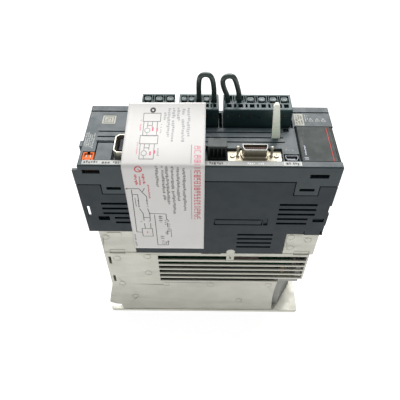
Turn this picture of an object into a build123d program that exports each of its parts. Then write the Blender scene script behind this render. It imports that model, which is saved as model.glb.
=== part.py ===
"""Book-type servo drive, lying on its mounting back.

Frame: the origin is the centre of the mounting back face. +Z runs to the front
panel, +X to the top end of the drive (as it hangs in a cabinet) and +Y to its
left side. All sizes are in millimetres.
"""
import os
from math import pi, radians, tan

from build123d import *

os.makedirs("parts", exist_ok=True)

# ---- driving dimensions -------------------------------------------------------
HEIGHT = 168.0           # along X
WIDTH = 60.0             # along Y
DEPTH = 185.0            # along Z, back face to front face
WALL = 2.0               # moulded covers
GAP = 0.3                # clearance round every piece that moves

HALF_H = HEIGHT / 2
HALF_W = WIDTH / 2
INNER_W = HALF_W - WALL

# Mounting: M5 screws, one hole at the top end and two open slots at the bottom end.
MOUNT_X = HALF_H - 6.0
MOUNT_LEFT_Y = HALF_W - 12.0
MOUNT_RIGHT_Y = MOUNT_LEFT_Y - 42.0
MOUNT_R = 3.0

# Heat sink
PLATE_T = 3.2
FIN_COUNT = 12
FIN_PITCH = 4.2
FIN_T = 1.6
FIN_START = -52.0
TUNNEL_TOP = 46.0
ROOF_TOP = 52.0
ROOF_END = 78.0
SINK_HALF_W = 25.3
EARTH_START = -76.0
EARTH_TOP = 67.5
EARTH_SCREW_Z = 53.0
EARTH_SCREW_Y = 9.0
COVER_SCREW_Z = 64.0
COVER_SCREW_Y = 20.0

# Cast side walls
CAST_OUT = 29.5          # outer face below the ledge, from the middle plane
CAST_IN = 26.8
CAST_UP_OUT = 27.9       # outer face behind the plastic side cover
CAST_UP_IN = 25.6
LEDGE_Z = 92.0
CAST_TOP = 119.0
CAST_LOW_X = -77.5
CAST_HIGH_X = 82.4
CAST_LOUVRE_X = 79.8     # right end of the louvred part
CUTOUT_X = 61.0
CUTOUT_TOP = 56.0

# Front case
SEAM_Z = 168.2           # bottom edge of the front case near its ends
MID_SEAM_Z = 172.0       # the same edge between the two snap tabs
CASE_LOW_X = -79.8
FRONT_T = 6.2            # thickness of the pocketed front wall
POCKET_Z = 181.3         # floor of the deep pockets and of the plug trench
TRENCH = (-46.0, 57.2, 10.7)     # x from, x to, near y
STRIP_Y = -25.0          # far edge of the label strip
TAB_X = [(-67.4, -52.1), (57.0, 72.3)]
TAB_BOTTOM = 159.5       # snap tabs that reach down into the side covers

# Display cover and its hinge
COVER_X = 58.9
COVER_Y = (-24.6, 8.6)
HINGE_X = 81.4
HINGE_Z = 182.0
KNUCKLE_R = 2.7
PIN_R = 0.8

# Terminal plugs: left end x, poles, pitch, width, and first pole from the left end
PLUG_NEAR_Y = 11.1
PLUG_FAR_Y = 28.3
PLUG_BOTTOM = 182.0
PLUG_TOP = 196.5
TONGUE_Y = (13.4, 25.0)
TONGUE_BOTTOM = 171.5
HEADER_BOTTOM = 165.0
ENTRY_Y = 22.0           # row of wire entries
WINDOW_Y = (18.5, 26.3)  # sunk window round each wire entry
TOOL_Y = (13.6, 17.2)    # row of tool slots
PIN_Y = 19.2             # row of header pins
PLUGS = {
    "main": {"x": 11.0, "poles": 6, "pitch": 7.5, "width": 45.0, "first": 3.1},
    "control": {"x": -18.5, "poles": 5, "pitch": 5.0, "width": 26.3, "first": 3.15},
    "motor": {"x": -43.4, "poles": 3, "pitch": 7.5, "width": 21.9, "first": 3.85},
}
WIRE_D = 3.5
# Wire links, up out of one entry, round a loop and down into another one
MAIN_LINK = [(14.1, 22.0, 188.8), (14.1, 22.0, 198.0), (10.5, 22.1, 206.2), (9.7, 22.3, 211.2),
             (11.4, 22.3, 213.9), (14.6, 22.3, 214.8), (17.4, 22.3, 213.3), (19.6, 22.1, 206.8),
             (21.6, 22.0, 198.6), (21.6, 22.0, 188.8)]
CONTROL_LINK = [(-5.35, 22.0, 188.8), (-5.35, 22.0, 199.3), (-5.6, 22.1, 206.3), (-5.25, 22.3, 213.1),
                (-2.8, 22.3, 215.5), (0.6, 22.3, 215.5), (3.1, 22.3, 213.1), (4.4, 22.1, 206.0),
                (4.65, 22.0, 199.3), (4.65, 22.0, 188.8)]

# Small connectors along the near side of the front
STO_X = (0.6, 12.2)
STO_Y = (-20.7, -12.6)
STO_TOP = 193.0
IO_X = 30.0
IO_Y = -18.0
IO_PLATE_X = (13.2, 47.1)
IO_PLATE_Y = (-22.6, -13.6)
IO_PLATE_Z = 182.9
USB_X = 53.1
USB_Y = -21.3
ENCODER_X = (-58.0, -48.2)
ENCODER_Y = (-22.8, -5.8)
BATTERY_X = (-77.6, -70.6)
BATTERY_Y = (-25.0, -17.7)

IO_POST_X = (19.3, 40.6)
IO_SCREW_X = (16.2, 43.9)

# Boards
BOARD_T = 1.6
POWER_BOARD_Z = 68.0
CONTROL_BOARD_Y = -25.1
INTERFACE_Z = 171.0
STANDOFF_PLACES = [(-64, -20), (-64, 20), (64, -20), (64, 20)]
DIP_Y = [-4.0, -1.3, 1.4, 4.1]

# Fan
FAN_X = (-62.4, -52.2)
FAN_Z = 24.4
FAN_HALF = 20.0
FAN_CORNERS = [(-16.8, FAN_Z + 16.8), (16.8, FAN_Z - 16.8)]

# Leaflet
PAPER_X = (-52.4, -1.2)
PAPER_T = 0.5


# ---- small helpers --------------------------------------------------------------
def block(x0, x1, y0, y1, z0, z1):
    """A rectangular block between two corners."""
    size = Box(x1 - x0, y1 - y0, z1 - z0)
    return Pos((x0 + x1) / 2, (y0 + y1) / 2, (z0 + z1) / 2) * size


def rod_x(x0, x1, y, z, r):
    return Pos((x0 + x1) / 2, y, z) * Rot(0, 90, 0) * Cylinder(r, x1 - x0)


def rod_y(x, y0, y1, z, r):
    return Pos(x, (y0 + y1) / 2, z) * Rot(90, 0, 0) * Cylinder(r, y1 - y0)


def rod_z(x, y, z0, z1, r):
    return Pos(x, y, (z0 + z1) / 2) * Cylinder(r, z1 - z0)


def plate_xz(points, y0, y1):
    """A plate between two y values, with the outline given as (x, z) points."""
    outline = Polyline(*[(x, y1, z) for x, z in points], close=True)
    return extrude(make_face(outline), amount=y1 - y0, dir=(0, -1, 0))


def plate_xy(points, z0, z1):
    """A plate between two z values, with the outline given as (x, y) points."""
    outline = Polyline(*[(x, y, z0) for x, y in points], close=True)
    return extrude(make_face(outline), amount=z1 - z0, dir=(0, 0, 1))


def pan_screw(head_r, head_t, shank_r, shank_l):
    """A cross-recess pan-head screw: head up along +Z, its seat at z 0."""
    head = Pos(0, 0, head_t / 2) * Cylinder(head_r, head_t)
    head = fillet(head.edges().sort_by(Axis.Z)[-1], head_t * 0.45)
    shank = Pos(0, 0, -shank_l / 2) * Cylinder(shank_r, shank_l)
    slot = Box(head_r * 1.1, head_r * 0.28, head_t)
    cross = Pos(0, 0, head_t) * (slot + Rot(0, 0, 90) * slot)
    return head + shank - cross


def mirrored(shape):
    """The same shape on the other side of the drive's middle plane."""
    return mirror(shape, about=Plane.XZ)


def tube(points, diameter):
    """A round tube along straight runs joined by tangent arcs as large as the runs allow."""
    corners = [Vector(*p) for p in points]
    runs = [(b - a).length for a, b in zip(corners, corners[1:])]
    radii = []
    for i in range(1, len(corners) - 1):
        turn = radians((corners[i] - corners[i - 1]).get_angle(corners[i + 1] - corners[i]))
        radii.append(0.45 * min(runs[i - 1], runs[i]) / tan(turn / 2))
    path = FilletPolyline(*points, radius=radii)
    start = Plane(origin=path @ 0, z_dir=path % 0)
    made = sweep(start * Circle(diameter / 2), path=path)
    section = pi * diameter**2 / 4
    print("tube radii", [round(r, 1) for r in radii], "length", round(path.length, 1),
          "volume share", round(made.volume / (section * path.length), 4))
    return made


def pole_places(plug):
    """The x of each pole of a terminal plug."""
    return [plug["x"] + plug["first"] + i * plug["pitch"] for i in range(plug["poles"])]


# ---- die-cast frame ---------------------------------------------------------------
def fin_end(y):
    """Fins stop on a slant at the right and short of the mounting hole at the left."""
    if y > 8.0:
        return MOUNT_X - 9.0
    return min(66.0 + (y + 24.0) * 16.0 / 27.0, 80.0)


def heatsink():
    plate = block(-HALF_H, HALF_H, -HALF_W, HALF_W, 0, PLATE_T)
    plate = fillet(plate.edges().filter_by(Axis.Z), 2.0)
    solids = [plate]
    for i in range(FIN_COUNT):
        y = (i - (FIN_COUNT - 1) / 2) * FIN_PITCH
        y0, y1 = y - FIN_T / 2, y + FIN_T / 2
        solids.append(block(FIN_START, fin_end(y), y0, y1, PLATE_T - 0.4, TUNNEL_TOP + 0.4))
    solids.append(block(EARTH_START, ROOF_END, -SINK_HALF_W, SINK_HALF_W, TUNNEL_TOP, ROOF_TOP))
    solids.append(block(EARTH_START, EARTH_START + 9, -SINK_HALF_W, SINK_HALF_W, ROOF_TOP - 1, EARTH_TOP))
    solids.append(block(ROOF_END - 4, ROOF_END, -SINK_HALF_W, SINK_HALF_W, ROOF_TOP - 1, EARTH_TOP))
    body = Part() + solids
    cuts = [rod_z(MOUNT_X, MOUNT_LEFT_Y, -1, PLATE_T + 1, MOUNT_R)]
    for y in (MOUNT_LEFT_Y, MOUNT_RIGHT_Y):
        cuts.append(rod_z(-MOUNT_X, y, -1, PLATE_T + 1, MOUNT_R))
        cuts.append(block(-HALF_H - 1, -MOUNT_X, y - MOUNT_R, y + MOUNT_R, -1, PLATE_T + 1))
    for y in (-EARTH_SCREW_Y, EARTH_SCREW_Y):
        cuts.append(rod_x(EARTH_START - 1, EARTH_START + 8, y, EARTH_SCREW_Z, 1.7))
    for y in (-COVER_SCREW_Y, COVER_SCREW_Y):
        cuts.append(rod_x(EARTH_START - 1, EARTH_START + 7, y, COVER_SCREW_Z, 1.25))
        cuts.append(rod_x(ROOF_END - 5, ROOF_END + 1, y, COVER_SCREW_Z, 1.25))
    for x, y in STANDOFF_PLACES:
        cuts.append(rod_z(x, y, ROOF_TOP - 4, ROOF_TOP + 1, 1.3))
    return body - cuts


def cast_wall():
    """The right-hand cast wall: louvred bars, ledge, pockets and cut-out for the air outlet."""
    outline = [
        Polyline((CUTOUT_X, -CAST_IN, CUTOUT_TOP), (CAST_LOUVRE_X, -CAST_IN, CUTOUT_TOP),
                 (CAST_LOUVRE_X, -CAST_IN, LEDGE_Z), (CAST_LOW_X, -CAST_IN, LEDGE_Z),
                 (CAST_LOW_X, -CAST_IN, 46), (-83.6, -CAST_IN, 17), (-83.6, -CAST_IN, 14.5),
                 (-78.8, -CAST_IN, 12), (-73.8, -CAST_IN, 10.8), (-73.4, -CAST_IN, PLATE_T),
                 (CUTOUT_X, -CAST_IN, PLATE_T)),
        ThreePointArc((CUTOUT_X, -CAST_IN, PLATE_T), (CUTOUT_X - 1.8, -CAST_IN, 30),
                      (CUTOUT_X, -CAST_IN, CUTOUT_TOP)),
    ]
    lower = extrude(make_face(outline), amount=CAST_OUT - CAST_IN, dir=(0, -1, 0))
    upper = block(CAST_LOW_X, CAST_HIGH_X, -CAST_UP_OUT, -CAST_UP_IN, LEDGE_Z - 3, CAST_TOP)
    rib = block(CAST_LOW_X, CAST_LOW_X + 3, -CAST_IN - 0.5, -CAST_UP_IN, 20, LEDGE_Z)
    boss = rod_y(19.3, -CAST_OUT, -CAST_UP_OUT + 0.5, 93.7, 3.4)
    flush_pads = [block(CAST_LOW_X, -52.5, -29.1, -CAST_UP_OUT + 0.5, LEDGE_Z - 1, 118.4),
                  block(58.7, CAST_HIGH_X, -29.1, -CAST_UP_OUT + 0.5, LEDGE_Z - 1, 116.3),
                  block(-71.7, -61.2, -CAST_OUT, -28.5, 113.6, 116.8)]
    wall = lower + [upper, rib, boss, *flush_pads]
    cuts = []
    slot_x = -36.6
    for i in range(6):
        top = 88.0 if i == 0 else 80.0 - 6.0 * (i - 1)
        height = 5.4 if i == 0 else 4.0
        end = 60.4 if i == 5 else CAST_LOUVRE_X - 1.3
        cuts.append(block(slot_x, end, -40, -20, top - height, top))
    cuts.append(block(slot_x - 1, 78.4, -CAST_OUT + 1.3, -CAST_IN + 1, CUTOUT_TOP + 1.5, 90.2))
    cuts.append(block(slot_x - 1, 60, -CAST_OUT + 1.3, -CAST_IN + 1, 50, CUTOUT_TOP + 1.6))
    for z0, z1 in ((76.5, 86.0), (50.4, 59.2)):
        cuts.append(block(-75.2, -73.2, -40, -20, z0, z1))
    for x0, x1 in ((-73.0, -61.1), (67.2, 79.0)):
        cuts.append(block(x0, x1, -40, -CAST_UP_OUT - 0.6, 90.6, 95.3))
        cuts.append(block(x0 + 0.3, x1 - 0.3, -40, -20, 94.2, 95.3))
    cuts.append(block(-3, 12, -40, -CAST_UP_OUT - 0.6, 91.0, 93))
    wall = wall - cuts
    post = block(16.4, 22.2, -CAST_OUT, -CAST_IN, 83, 88.6) - rod_y(19.3, -40, -20, 85.5, 1.0)
    wall = wall + post
    marks = [(-68.5, 84.3), (-44.7, 86.8), (-45.7, 63.6), (-68.7, 47.1), (-32.3, 46.6), (5, 46), (53.2, 46.3),
             (-60, 26), (30, 20)]
    discs = [rod_y(x, -CAST_OUT - 0.25, -CAST_OUT + 0.5, z, 2.8) for x, z in marks]
    high_marks = [(-73.3, 111.0), (62.1, 112.8), (75.3, 109.7), (63.5, 99.8)]
    discs += [rod_y(x, -CAST_OUT + 0.15, -CAST_OUT + 0.9, z, 2.6) for x, z in high_marks]
    return wall + discs


# ---- fan ---------------------------------------------------------------------------
def fan_frame():
    x0, x1 = FAN_X
    frame = block(x0, x1, -FAN_HALF, FAN_HALF, FAN_Z - FAN_HALF, FAN_Z + FAN_HALF)
    frame = fillet(frame.edges().filter_by(Axis.X), 3.0)
    frame = frame - rod_x(x0 - 1, x1 + 1, 0, FAN_Z, 18.7)
    stator = rod_x(x1 - 2.0, x1, 0, FAN_Z, 8.0)
    struts = []
    for i in range(3):
        arm = Pos(x1 - 0.8, 0, 13.0) * Box(1.6, 2.0, 13.0)
        struts.append(Pos(0, 0, FAN_Z) * Rot(120 * i + 30, 0, 0) * arm)
    frame = frame + [stator, *struts]
    holes = [rod_x(x0 - 1, x1 + 1, y, z, 1.7) for y, z in FAN_CORNERS]
    return frame - holes - rod_x(x1 - 3, x1 - 0.5, 0, FAN_Z, 1.05)


def fan_rotor():
    x0, x1 = FAN_X
    hub = rod_x(x0 + 0.8, x1 - 2.5, 0, FAN_Z, 8.5)
    hub = fillet(hub.edges().sort_by(Axis.X)[0], 1.2)
    shaft = rod_x(x1 - 3.0, x1 - 0.8, 0, FAN_Z, 1.0)
    blades = []
    for i in range(7):
        blade = Pos(x0 + 4.4, 0, 12.6) * Rot(0, 0, 38) * Box(6.6, 1.0, 10.0)
        blades.append(Pos(0, 0, FAN_Z) * Rot(360 / 7 * i, 0, 0) * blade)
    return hub + [shaft, *blades]


def fan_screws():
    made = []
    for y, z in FAN_CORNERS:
        screw = pan_screw(2.8, 1.8, 1.25, 15.0)
        made.append(Pos(FAN_X[0], y, z) * Rot(0, -90, 0) * screw)
    return made


# ---- power electronics ---------------------------------------------------------------
def power_module():
    body = block(-40, 22, -17, 17, ROOF_TOP, ROOF_TOP + 9)
    body = chamfer(body.edges().group_by(Axis.Z)[-1], 0.8)
    pins = [block(x, x + 0.9, y - 0.3, y + 0.3, ROOF_TOP + 8.5, POWER_BOARD_Z)
            for x in range(-36, 20, 5) for y in (-14.5, 14.5)]
    return body + pins


def power_board():
    board = block(-70, 70, -24.6, 24.6, POWER_BOARD_Z, POWER_BOARD_Z + BOARD_T)
    holes = [rod_z(x, y, POWER_BOARD_Z - 1, POWER_BOARD_Z + 3, 1.6) for x, y in STANDOFF_PLACES]
    return board - holes


def board_standoffs():
    made = []
    for x, y in STANDOFF_PLACES:
        hexagon = extrude(Pos(x, y, ROOF_TOP) * RegularPolygon(2.9, 6), amount=POWER_BOARD_Z - ROOF_TOP)
        stud = rod_z(x, y, ROOF_TOP - 3.6, ROOF_TOP, 1.25)
        made.append(hexagon + stud)
    return made


def bus_capacitors():
    made = []
    base = POWER_BOARD_Z + BOARD_T
    for x in (-52, -28, -4):
        can = rod_z(x, 11, base, base + 42, 11)
        groove = rod_z(x, 11, base + 2.6, base + 3.8, 12) - rod_z(x, 11, base + 2, base + 4.5, 10.3)
        vents = [Pos(x, 11, base + 42) * Rot(0, 0, a) * Box(14, 0.6, 0.8) for a in (0, 60, 120)]
        made.append(can - [groove, *vents])
    return made


def inrush_relay():
    base = POWER_BOARD_Z + BOARD_T
    return fillet(block(20, 48, 6, 19, base, base + 24).edges().filter_by(Axis.Z), 0.8)


def control_transformer():
    base = POWER_BOARD_Z + BOARD_T
    core = block(20, 46, -20, -2, base + 4, base + 20)
    bobbin = block(23, 43, -22, 0, base, base + 24)
    return core + bobbin


# ---- control electronics -----------------------------------------------------------------
def control_board():
    board = block(-68, 58, CONTROL_BOARD_Y, CONTROL_BOARD_Y + BOARD_T, 122, 176)
    chips = [block(x, x + w, CONTROL_BOARD_Y + BOARD_T, CONTROL_BOARD_Y + BOARD_T + 1.4, z, z + w)
             for x, z, w in ((-30, 130, 20), (2, 132, 14), (28, 130, 10), (-56, 134, 12))]
    return board + chips


def interface_board():
    return block(60.2, 79.6, -23.2, 7.4, INTERFACE_Z, INTERFACE_Z + BOARD_T)


def display_module():
    top = INTERFACE_Z + BOARD_T
    body = block(63, 77, -22.4, -7.4, top, top + 6.4)
    digits = []
    for y in (-19.5, -14.9, -10.3):
        frame = block(66, 74, y - 1.5, y + 1.5, top + 6.0, top + 6.8)
        holes = [block(x, x + 2.8, y - 0.8, y + 0.8, top + 5, top + 7) for x in (66.8, 70.4)]
        digits.append(frame - holes)
    return body + digits


def rotary_switch_body():
    top = INTERFACE_Z + BOARD_T
    body = block(67, 77, -5.4, 4.6, top, top + 5.2)
    return body - rod_z(72, -0.4, top + 1.2, top + 6, 3.55)


def rotary_switch_dial():
    top = INTERFACE_Z + BOARD_T
    dial = rod_z(72, -0.4, top + 1.3, top + 5.6, 3.5)
    outline = [(71.5, -3.2), (72.5, -3.2), (72.5, 0.8), (73.4, 0.8), (72, 2.6), (70.6, 0.8), (71.5, 0.8)]
    arrow = plate_xy(outline, top + 4.9, top + 6)
    return dial - arrow


def dip_switch_body():
    top = INTERFACE_Z + BOARD_T
    body = block(60.6, 66.6, -5.6, 5.8, top, top + 4.0)
    slots = [block(61.9, 65.3, y - 0.8, y + 0.8, top + 2.4, top + 5) for y in DIP_Y]
    return body - slots


def dip_slider(y):
    top = INTERFACE_Z + BOARD_T
    return block(62.1, 63.5, y - 0.65, y + 0.65, top + 2.5, top + 4.9)


# ---- plastic housing ------------------------------------------------------------------
def louvres(x0, x1, tops):
    """Horizontal cooling slots through a side cover."""
    return [block(x0, x1, -40, -20, top - 1.8, top) for top in tops]


def side_cover():
    """The right-hand T-shaped cover, with cooling slots, clip windows and a moulded bar."""
    outline = [(-HALF_H + 0.4, 119.0), (-51.8, 119.0), (-51.8, LEDGE_Z + 0.6), (58.0, LEDGE_Z + 0.6),
               (58.0, 118.2), (69.8, 118.2), (69.8, 116.8), (HALF_H, 116.8), (HALF_H, SEAM_Z - 0.6),
               (TAB_X[1][0], SEAM_Z - 0.6), (TAB_X[1][0], MID_SEAM_Z - 0.6),
               (TAB_X[0][1], MID_SEAM_Z - 0.6), (TAB_X[0][1], SEAM_Z - 0.6),
               (-HALF_H + 0.4, SEAM_Z - 0.6)]
    cover = plate_xz(outline, -HALF_W, -INNER_W)
    cuts = louvres(49.2, 74.4, (150.7, 145.7, 140.7)) + louvres(49.2, 70.3, (135.7, 130.7))
    cuts += louvres(23.0, 48.5, (117.4, 112.4, 107.4, 102.4))
    cuts += louvres(-70.3, -45.0, (150.4, 145.4, 140.4))
    cuts += louvres(-63.0, -41.0, (135.4, 130.4))
    for x0, x1 in TAB_X:
        cuts.append(block(x0 - 0.6, x1 + 0.6, -40, -20, TAB_BOTTOM - 0.6, 180))
    cuts.append(block(-74.4, -66.7, -40, -20, 132.0, 136.2))
    cuts.append(block(74.0, 81.8, -40, -HALF_W + 1.3, 131.8, 135.8))
    cuts.append(block(69.6, 70.9, -40, -HALF_W + 1.2, 116, 121.0))
    cuts.append(block(-81.0, -78.8, -40, -20, 136.0, 146.6))
    cuts.append(block(82.9, 90, -40, -20, 140.8, 148.7))
    cuts.append(block(81.8, 90, -40, -HALF_W + 1.0, 118.4, 127.6))
    cuts.append(rod_y(19.3, -40, -20, 93.7, 3.8))
    bar = block(5.6, 39.6, -31, -HALF_W + 1.2, 127.6, 133.9) - block(6.5, 38.7, -32, -20, 128.5, 133.0)
    cuts.append(bar)
    cuts.append(block(40.2, 43.2, -31, -HALF_W + 1.0, 127.6, 135.4))
    return cover - cuts


def end_cover(x0, bottom):
    """A louvred end panel between the two side covers."""
    x1 = x0 + WALL
    cover = block(x0, x1, -27.6, 27.6, bottom, SEAM_Z - 0.3)
    slots = [block(x0 - 1, x1 + 1, -20, 20, z, z + 2.2) for z in range(78, 156, 6)]
    centre_bar = block(x0, x1, -1.5, 1.5, 76, 156)
    holes = [rod_x(x0 - 1, x1 + 1, y, COVER_SCREW_Z, 1.6) for y in (-COVER_SCREW_Y, COVER_SCREW_Y)]
    notch = [block(x0 - 1, x1 + 1, -28, -CAST_UP_IN + 0.3, 54, CAST_TOP + 0.4),
             block(x0 - 1, x1 + 1, CAST_UP_IN - 0.3, 28, 54, CAST_TOP + 0.4)]
    return cover - slots + centre_bar - holes - notch


def front_case():
    top = DEPTH
    shell = block(CASE_LOW_X, HALF_H, -HALF_W, HALF_W, SEAM_Z, top)
    shell = chamfer(shell.edges().group_by(Axis.Z)[-1], 0.6)
    shell = shell - block(CASE_LOW_X + WALL, HALF_H - WALL, -INNER_W, INNER_W, SEAM_Z - 1, top - 2.5)
    tx0, tx1, ty = TRENCH
    solids = [block(CASE_LOW_X + 1, HALF_H - 1, -INNER_W - 0.5, ty + 1.5, top - FRONT_T, top - 1),
              block(tx0 - 2, tx1 + 2, ty, INNER_W + 0.5, POCKET_Z - 2.5, top - 1)]
    for side in (-1, 1):
        near, far = sorted((side * HALF_W, side * INNER_W))
        corner_top = top - 4 if side < 0 else SEAM_Z + 2
        solids.append(block(-HALF_H + 0.4, CASE_LOW_X + 1, near, far, SEAM_Z, corner_top))
        for x0, x1 in TAB_X:
            solids.append(block(x0, x1, near, far, TAB_BOTTOM, SEAM_Z + 1))
    solids.append(block(CASE_LOW_X - 2.0, CASE_LOW_X + 0.5, -11.5, -6, 178.8, 184.0))
    case = shell + solids

    cuts = [block(tx0, tx1, ty, 40, POCKET_Z, top + 1)]
    for plug in PLUGS.values():
        cuts.append(block(plug["x"] + 0.9, plug["x"] + plug["width"] - 0.9, 12.1, 26.3, 170, 184))
    for x0, x1 in ((-20.9, -19.1), (8.4, 10.4)):
        cuts.append(block(x0, x1, ty + 0.6, 27.2, 170, 184))
    slope = Polyline((tx0, ty + 0.1, POCKET_Z), (tx0, ty + 0.1, top + 0.1), (tx0, ty - 4.0, top + 0.1),
                     close=True)
    cuts.append(extrude(make_face(slope), amount=tx1 - tx0, dir=(1, 0, 0)))
    # pockets for the small connectors: blank, encoder, fibre ports, STO, I/O, USB
    pockets = [(-70.4, -59.0, STRIP_Y, -8.0, 182.8), (-59.1, -46.6, STRIP_Y, -4.4, POCKET_Z),
               (-44.2, -4.2, STRIP_Y, -9.0, POCKET_Z), (-1.0, 13.0, STRIP_Y, -11.3, POCKET_Z),
               (12.9, 47.5, STRIP_Y, -13.2, 182.3), (48.2, 58.0, STRIP_Y, -18.4, 180.8),
               (BATTERY_X[0] - 0.3, BATTERY_X[1] + 0.3, STRIP_Y - 0.3, BATTERY_Y[1] + 0.3, 176)]
    for x0, x1, y0, y1, floor in pockets:
        cuts.append(block(x0, x1, y0, y1, floor, top + 1))
    # openings through the front wall under those pockets
    openings = [(-57.4, -48.8, -22.2, -6.4), (-42.6, -26.4, -22.2, -10.8), (-23.4, -7.2, -22.2, -10.8),
                (0.2, 12.6, -21.1, -12.2), (20.6, 39.4, -21.6, -14.4), (48.9, 57.3, -23.7, -18.9),
                (50.4, 53.8, 3.0, 6.4), (42.0, 48.0, -2.5, 0.7)]
    for x0, x1, y0, y1 in openings:
        cuts.append(block(x0, x1, y0, y1, 170, top + 1))
    # long moulded grooves
    for y in (2.3, -2.9, -7.3):
        cuts.append(block(-71, 49.3 if y > -7 else 49.9, y - 0.45, y + 0.45, top - 1.5, top + 1))
    for x0, x1 in ((CASE_LOW_X - 1, tx0), (tx1, HALF_H + 1)):
        cuts.append(block(x0, x1, 23.0, 24.0, top - 1.5, top + 1))
    # display window well and hinge recess
    cy0, cy1 = COVER_Y
    cuts.append(block(COVER_X - 0.9, HALF_H + 1, cy0 - GAP, cy1 + GAP, top - 2.4, top + 1))
    cuts.append(block(60.0, 79.8, cy0 + 1.2, cy1 - 1.0, 170, top))
    cuts.append(rod_y(HINGE_X, cy0 - GAP, cy1 + GAP, HINGE_Z, KNUCKLE_R + 0.5))
    cuts.append(block(HINGE_X, HALF_H + 1, cy0 - GAP, cy1 + GAP, HINGE_Z - KNUCKLE_R - 0.5, top + 1))
    cuts.append(rod_y(HINGE_X, cy0 - 2.2, cy1 + 2.2, HINGE_Z, PIN_R))
    for x in IO_SCREW_X:
        cuts.append(rod_z(x, IO_Y - 0.2, 177, top, 1.25))
    # recessed finger slots and clip windows in both skirts
    for side in (-1, 1):
        near, far = sorted((side * 20, side * 40))
        cuts.append(block(-77.4, -66.4, near, far, 178.1, 181.2))
        cuts.append(block(64.5, 76.4, near, far, 175.4, 178.7))
        cuts.append(block(-64.4, -55.1, near, far, 163.4, 165.8))
        cuts.append(block(59.8, 69.5, near, far, 163.4, 165.8))
        cuts.append(block(TAB_X[0][1], TAB_X[1][0], near, far, SEAM_Z - 1, MID_SEAM_Z))
    return case - cuts


def display_cover():
    cy0, cy1 = COVER_Y
    plate = block(COVER_X, HINGE_X, cy0, cy1, DEPTH - 2.1, DEPTH)
    plate = chamfer(plate.edges().filter_by(Axis.Y).group_by(Axis.X)[0].sort_by(Axis.Z)[-1], 0.7)
    knuckle = rod_y(HINGE_X, cy0, cy1, HINGE_Z, KNUCKLE_R)
    knuckle = knuckle + block(HINGE_X - 0.5, HINGE_X + 1.2, cy0, cy1, HINGE_Z, DEPTH - 0.4)
    line = block(78.5, 79.3, cy0 - 1, cy1 + 1, DEPTH - 0.25, DEPTH + 1)
    catch = block(COVER_X + 1.5, COVER_X + 3.0, -10, -4, DEPTH - 4.0, DEPTH - 2)
    return plate + [knuckle, catch] - [line, rod_y(HINGE_X, -40, 40, HINGE_Z, PIN_R + 0.05)]


def cover_hinge_pin():
    return rod_y(HINGE_X, COVER_Y[0] - 2.0, COVER_Y[1] + 2.0, HINGE_Z, PIN_R)


# ---- terminal plugs and their headers ------------------------------------------------------
def header(plug):
    x0, x1 = plug["x"] + 1.1, plug["x"] + plug["width"] - 1.1
    body = block(x0, x1, 12.3, 26.1, HEADER_BOTTOM, POCKET_Z)
    y0, y1 = TONGUE_Y[0] - GAP, TONGUE_Y[1] + GAP
    cavity = block(x0 + 0.9, x1 - 0.9, y0, y1, TONGUE_BOTTOM - 1.5, POCKET_Z + 1)
    holes = [rod_z(x, PIN_Y, HEADER_BOTTOM - 1, TONGUE_BOTTOM, 0.6) for x in pole_places(plug)]
    return body - [cavity, *holes]


def header_pins():
    """One round pin for each pole of the three headers."""
    made = []
    for plug in PLUGS.values():
        for x in pole_places(plug):
            made.append(rod_z(x, PIN_Y, HEADER_BOTTOM - 3, TONGUE_BOTTOM + 6, 0.6))
    return made


def terminal_plug(plug):
    """The housing with its wire entries and tool slots, and the contact block under it."""
    x0, x1 = plug["x"], plug["x"] + plug["width"]
    body = block(x0, x1, PLUG_NEAR_Y, PLUG_FAR_Y, PLUG_BOTTOM, PLUG_TOP)
    body = chamfer(body.edges().group_by(Axis.Z)[-1], 0.5)
    tongue = block(x0 + 2.3, x1 - 2.3, TONGUE_Y[0], TONGUE_Y[1], TONGUE_BOTTOM, PLUG_BOTTOM)
    half = min(plug["pitch"] / 2 - 0.6, 2.8)
    slot = 0.2 * plug["pitch"]
    cuts = []
    for x in pole_places(plug):
        cuts.append(block(x - half, x + half, *WINDOW_Y, PLUG_TOP - 2.4, PLUG_TOP + 1))
        cuts.append(rod_z(x, ENTRY_Y, PLUG_TOP - 9, PLUG_TOP, WIRE_D / 2 + 0.05))
        cuts.append(block(x - slot + 0.5, x + slot + 0.5, *TOOL_Y, PLUG_TOP - 4.3, PLUG_TOP + 1))
        cuts.append(rod_y(x, 9, PLUG_NEAR_Y + 2.2, PLUG_TOP - 5.6, 0.7))
    side = 0.09 * plug["pitch"]
    for left, right in zip(pole_places(plug), pole_places(plug)[1:]):
        x = (left + right) / 2
        cuts.append(block(x - side + 0.6, x + side + 0.6, *TOOL_Y, PLUG_TOP - 4.3, PLUG_TOP + 1))
        gap = max(plug["pitch"] / 2 - half - 0.45, 0.2)
        cuts.append(block(x - gap, x + gap, WINDOW_Y[0] + 0.6, WINDOW_Y[1], PLUG_TOP - 2.4, PLUG_TOP + 1))
    pin_holes = [rod_z(x, PIN_Y, TONGUE_BOTTOM - 1, TONGUE_BOTTOM + 7, 1.0) for x in pole_places(plug)]
    return [body - cuts, tongue - pin_holes]


def plug_contacts(plug):
    """The brass test point of each pole, seen in the small hole of the plug's near face."""
    made = []
    for x in pole_places(plug):
        made.append(rod_y(x, PLUG_NEAR_Y + 0.8, PLUG_NEAR_Y + 2.2, PLUG_TOP - 5.6, 0.69))
    return made


def jumper(points):
    return tube(points, WIRE_D)


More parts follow.
